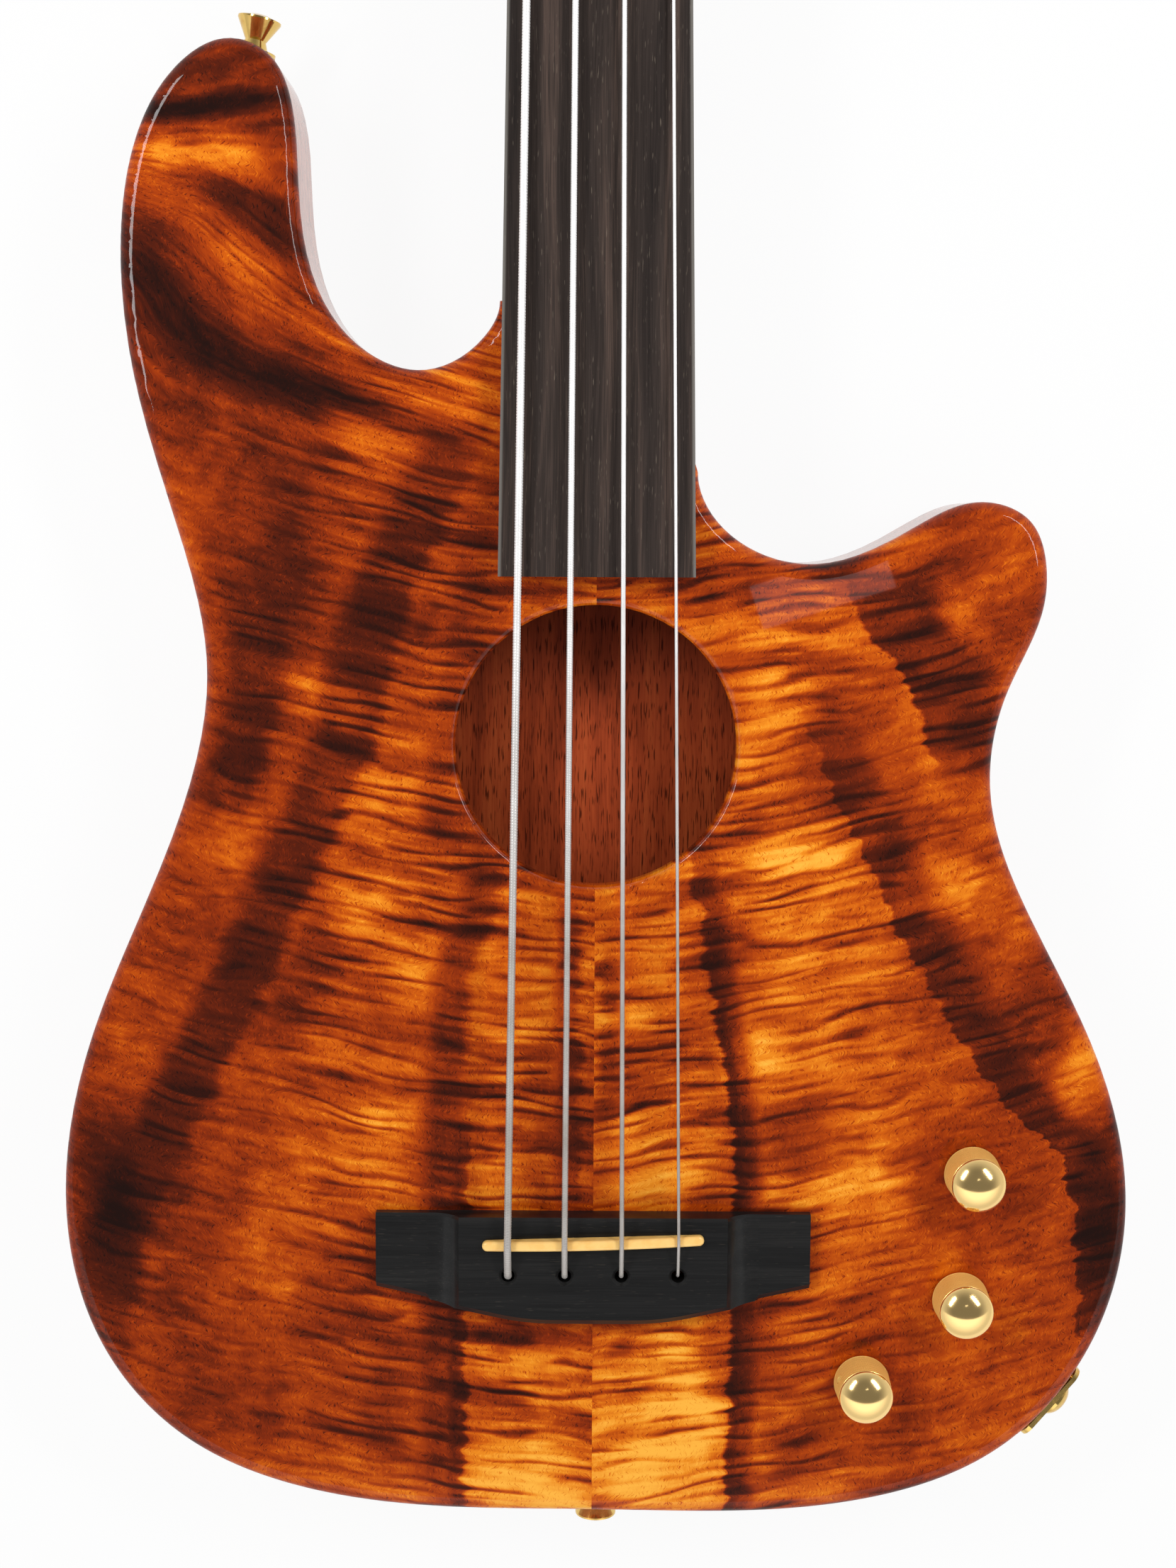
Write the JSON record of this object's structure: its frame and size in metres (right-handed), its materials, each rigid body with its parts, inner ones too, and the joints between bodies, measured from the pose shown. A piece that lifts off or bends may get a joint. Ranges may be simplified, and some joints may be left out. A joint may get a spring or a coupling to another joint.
{
  "type": "acoustic bass guitar",
  "caption": "Thin-bodied fretless acoustic bass with a figured gloss top, round sound hole, pinless bridge, top-mounted knobs and worm-gear tuners.",
  "frame": {"origin": "on the flat back face, on the centreline under the saddle", "axes": "+Z out of the top, +Y along the neck towards the headstock, +X towards the treble side; it lies on its back"},
  "size_m": [0.3642, 1.1539, 0.0703],
  "materials": {
    "body_wood": "gloss",
    "top_wood": "gloss",
    "dark_wood": "satin",
    "neck_wood": "satin",
    "amber_bone": "satin",
    "pale_plastic": "gloss",
    "cable_black": "matte",
    "string_steel": "satin",
    "brass_fittings": "satin",
    "gold_fittings": "polished",
    "plain_steel": "satin",
    "knob_metal": "polished",
    "black_plastic": "satin",
    "battery_case": "satin",
    "circuit_board": "satin"
  },
  "bodies": {
    "instrument": {"body_core": "body_wood", "top_bass_half": "top_wood", "top_treble_half": "top_wood", "bridge": "dark_wood", "saddle": "amber_bone", "piezo_strip": "cable_black", "neck": "neck_wood", "fingerboard": "dark_wood", "side_dots": "pale_plastic", "nut": "amber_bone", "headstock_veneer": "top_wood", "truss_rod": "plain_steel", "truss_rod_cover": "black_plastic", "string_ferrules": "gold_fittings", "string_ball_ends": "brass_fittings", "string_e": "string_steel", "string_a": "string_steel", "string_d": "string_steel", "string_g": "string_steel", "neck_screws": "gold_fittings", "neck_screw_bushings": "gold_fittings", "pot_bodies": "plain_steel", "pot_nuts": "plain_steel", "control_cover": "black_plastic", "battery": "battery_case", "preamp_board": "circuit_board", "jack_plate": "gold_fittings", "jack_socket": "plain_steel", "jack_cap_nut": "gold_fittings", "piezo_lead": "cable_black", "jack_lead": "cable_black", "small_screws": "gold_fittings", "strap_button_upper": "gold_fittings", "strap_button_lower": "gold_fittings", "strap_button_washers": "gold_fittings", "strap_button_screws": "gold_fittings", "tuner_frame_e": "gold_fittings", "tuner_frame_a": "gold_fittings", "tuner_frame_d": "gold_fittings", "tuner_frame_g": "gold_fittings", "tuner_bushings": "gold_fittings", "tuner_screws": "gold_fittings"},
    "volume_control": {"knob_volume": "knob_metal", "grub_screw_volume": "plain_steel", "pot_shaft_volume": "plain_steel"},
    "bass_control": {"knob_bass": "knob_metal", "grub_screw_bass": "plain_steel", "pot_shaft_bass": "plain_steel"},
    "treble_control": {"knob_treble": "knob_metal", "grub_screw_treble": "plain_steel", "pot_shaft_treble": "plain_steel"},
    "key_e": {"tuner_key_e": "gold_fittings"},
    "post_e": {"tuner_post_e": "gold_fittings"},
    "key_a": {"tuner_key_a": "gold_fittings"},
    "post_a": {"tuner_post_a": "gold_fittings"},
    "key_d": {"tuner_key_d": "gold_fittings"},
    "post_d": {"tuner_post_d": "gold_fittings"},
    "key_g": {"tuner_key_g": "gold_fittings"},
    "post_g": {"tuner_post_g": "gold_fittings"},
    "rod_nut": {"truss_rod_nut": "plain_steel"}
  },
  "joints": [
    {"name": "volume_turn", "type": "hinge", "parent": "instrument", "child": "volume_control", "pos_m": [0.129, 0.022, 0.05], "axis": [0, 0, 1], "range_deg": [-150, 150]},
    {"name": "bass_turn", "type": "hinge", "parent": "instrument", "child": "bass_control", "pos_m": [0.126, -0.0222, 0.05], "axis": [0, 0, 1], "range_deg": [-150, 150]},
    {"name": "treble_turn", "type": "hinge", "parent": "instrument", "child": "treble_control", "pos_m": [0.0928, -0.052, 0.05], "axis": [0, 0, 1], "range_deg": [-150, 150]},
    {"name": "key_e_turn", "type": "hinge", "parent": "instrument", "child": "key_e", "pos_m": [-0.027, 0.93501, 0.02691], "axis": [-1, 0, 0], "continuous": true},
    {"name": "post_e_turn", "type": "hinge", "parent": "instrument", "child": "post_e", "pos_m": [-0.027, 0.92646, 0.04795], "axis": [0, 0.0698, 0.9976], "continuous": true},
    {"name": "key_a_turn", "type": "hinge", "parent": "instrument", "child": "key_a", "pos_m": [-0.027, 0.99886, 0.02244], "axis": [-1, 0, 0], "continuous": true},
    {"name": "post_a_turn", "type": "hinge", "parent": "instrument", "child": "post_a", "pos_m": [-0.027, 0.9903, 0.04349], "axis": [0, 0.0698, 0.9976], "continuous": true},
    {"name": "key_d_turn", "type": "hinge", "parent": "instrument", "child": "key_d", "pos_m": [0.027, 0.99886, 0.02244], "axis": [1, 0, 0], "continuous": true},
    {"name": "post_d_turn", "type": "hinge", "parent": "instrument", "child": "post_d", "pos_m": [0.027, 0.9903, 0.04349], "axis": [0, 0.0698, 0.9976], "continuous": true},
    {"name": "key_g_turn", "type": "hinge", "parent": "instrument", "child": "key_g", "pos_m": [0.027, 0.93501, 0.02691], "axis": [1, 0, 0], "continuous": true},
    {"name": "post_g_turn", "type": "hinge", "parent": "instrument", "child": "post_g", "pos_m": [0.027, 0.92646, 0.04795], "axis": [0, 0.0698, 0.9976], "continuous": true},
    {"name": "truss_rod_nut_turn", "type": "hinge", "parent": "instrument", "child": "rod_nut", "pos_m": [0, 0.8776, 0.0485], "axis": [0, 1, 0], "range_deg": [-180, 180]}
  ],
  "couplings": [
    {"joint": "post_e_turn", "follows": "key_e_turn", "ratio": 0.05},
    {"joint": "post_a_turn", "follows": "key_a_turn", "ratio": 0.05},
    {"joint": "post_d_turn", "follows": "key_d_turn", "ratio": 0.05},
    {"joint": "post_g_turn", "follows": "key_g_turn", "ratio": 0.05}
  ]
}
